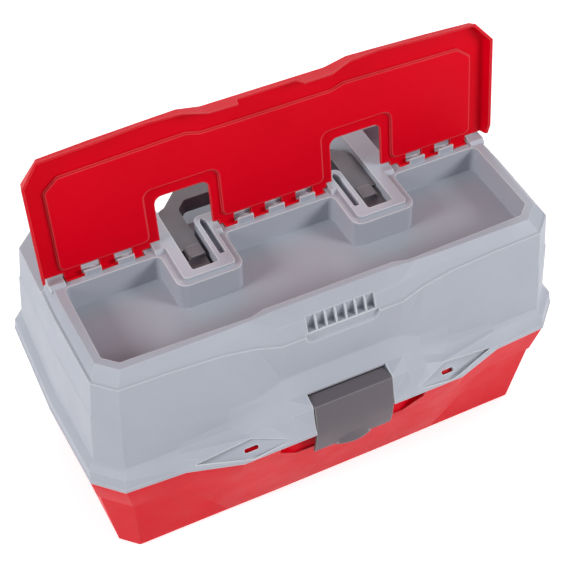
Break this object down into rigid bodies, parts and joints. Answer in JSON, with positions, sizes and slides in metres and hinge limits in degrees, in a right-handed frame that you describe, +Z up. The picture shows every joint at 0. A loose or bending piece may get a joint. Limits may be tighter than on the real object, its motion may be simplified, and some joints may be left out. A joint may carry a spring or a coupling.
{
  "type": "cantilever tackle box",
  "caption": "Hand-carried fishing tackle box with a snap latch, cantilever trays that rise with the lid, and a covered compartment in the lid's top; the cover stands open.",
  "frame": {"origin": "centre of the base's flat bottom face", "axes": "+X along the box's length, towards the right end seen from the front; -Y towards the front with the latch; +Z up"},
  "size_m": [0.446, 0.259, 0.354],
  "materials": {
    "red_plastic": "smooth moulded, slightly glossy",
    "grey_plastic": "finely textured, satin",
    "dark_plastic": "finely textured, satin",
    "arm_plastic": "satin",
    "tray_plastic": "smooth moulded",
    "steel": "drawn wire"
  },
  "bodies": {
    "base": {"base": "red_plastic", "base_rivets": "steel", "hinge_pins": "steel"},
    "lid": {"lid": "grey_plastic", "latch_pin": "steel", "handle_pins": "steel"},
    "cover": {"cover": "red_plastic"},
    "handle": {"handle": "dark_plastic"},
    "latch": {"latch": "dark_plastic"},
    "front_arms": {"front_arm_left": "arm_plastic", "front_arm_right": "arm_plastic"},
    "rear_arms": {"rear_arm_left": "arm_plastic", "rear_arm_right": "arm_plastic"},
    "tray_low": {"tray_low": "tray_plastic", "dividers_low": "tray_plastic", "rivets_low": "steel"},
    "tray_mid": {"tray_mid": "tray_plastic", "dividers_mid": "tray_plastic", "rivets_mid": "steel"},
    "tray_top": {"tray_top": "tray_plastic", "dividers_top": "tray_plastic", "rivets_top": "steel"}
  },
  "joints": [
    {"name": "lid_swing", "type": "hinge", "parent": "base", "child": "lid", "pos_m": [0, 0.12, 0.1135], "axis": [-1, 0, 0], "range_deg": [0, 95]},
    {"name": "front_arm_swing", "type": "hinge", "parent": "base", "child": "front_arms", "pos_m": [0, 0.008, 0.107], "axis": [-1, 0, 0], "range_deg": [0, 95]},
    {"name": "rear_arm_swing", "type": "hinge", "parent": "base", "child": "rear_arms", "pos_m": [0, 0.052, 0.107], "axis": [-1, 0, 0], "range_deg": [0, 95]},
    {"name": "tray_low_level", "type": "hinge", "parent": "front_arms", "child": "tray_low", "pos_m": [0, -0.01805, 0.12885], "axis": [-1, 0, 0], "range_deg": [-95, 0]},
    {"name": "tray_mid_level", "type": "hinge", "parent": "front_arms", "child": "tray_mid", "pos_m": [0, -0.04869, 0.15457], "axis": [-1, 0, 0], "range_deg": [-95, 0]},
    {"name": "tray_top_level", "type": "hinge", "parent": "front_arms", "child": "tray_top", "pos_m": [0, -0.07933, 0.18028], "axis": [-1, 0, 0], "range_deg": [-95, 0]},
    {"name": "cover_swing", "type": "hinge", "parent": "lid", "child": "cover", "pos_m": [0, 0.0163, 0.2305], "axis": [1, 0, 0], "range_deg": [0, 98]},
    {"name": "handle_swing", "type": "hinge", "parent": "lid", "child": "handle", "pos_m": [0, -0.012, 0.2215], "axis": [1, 0, 0], "range_deg": [0, 42]},
    {"name": "latch_flip", "type": "hinge", "parent": "lid", "child": "latch", "pos_m": [0, -0.1154, 0.1451], "axis": [-1, 0, 0], "range_deg": [0, 60]}
  ],
  "couplings": [
    {"joint": "front_arm_swing", "follows": "lid_swing", "ratio": 1},
    {"joint": "rear_arm_swing", "follows": "lid_swing", "ratio": 1},
    {"joint": "tray_low_level", "follows": "lid_swing", "ratio": -1},
    {"joint": "tray_mid_level", "follows": "lid_swing", "ratio": -1},
    {"joint": "tray_top_level", "follows": "lid_swing", "ratio": -1}
  ]
}
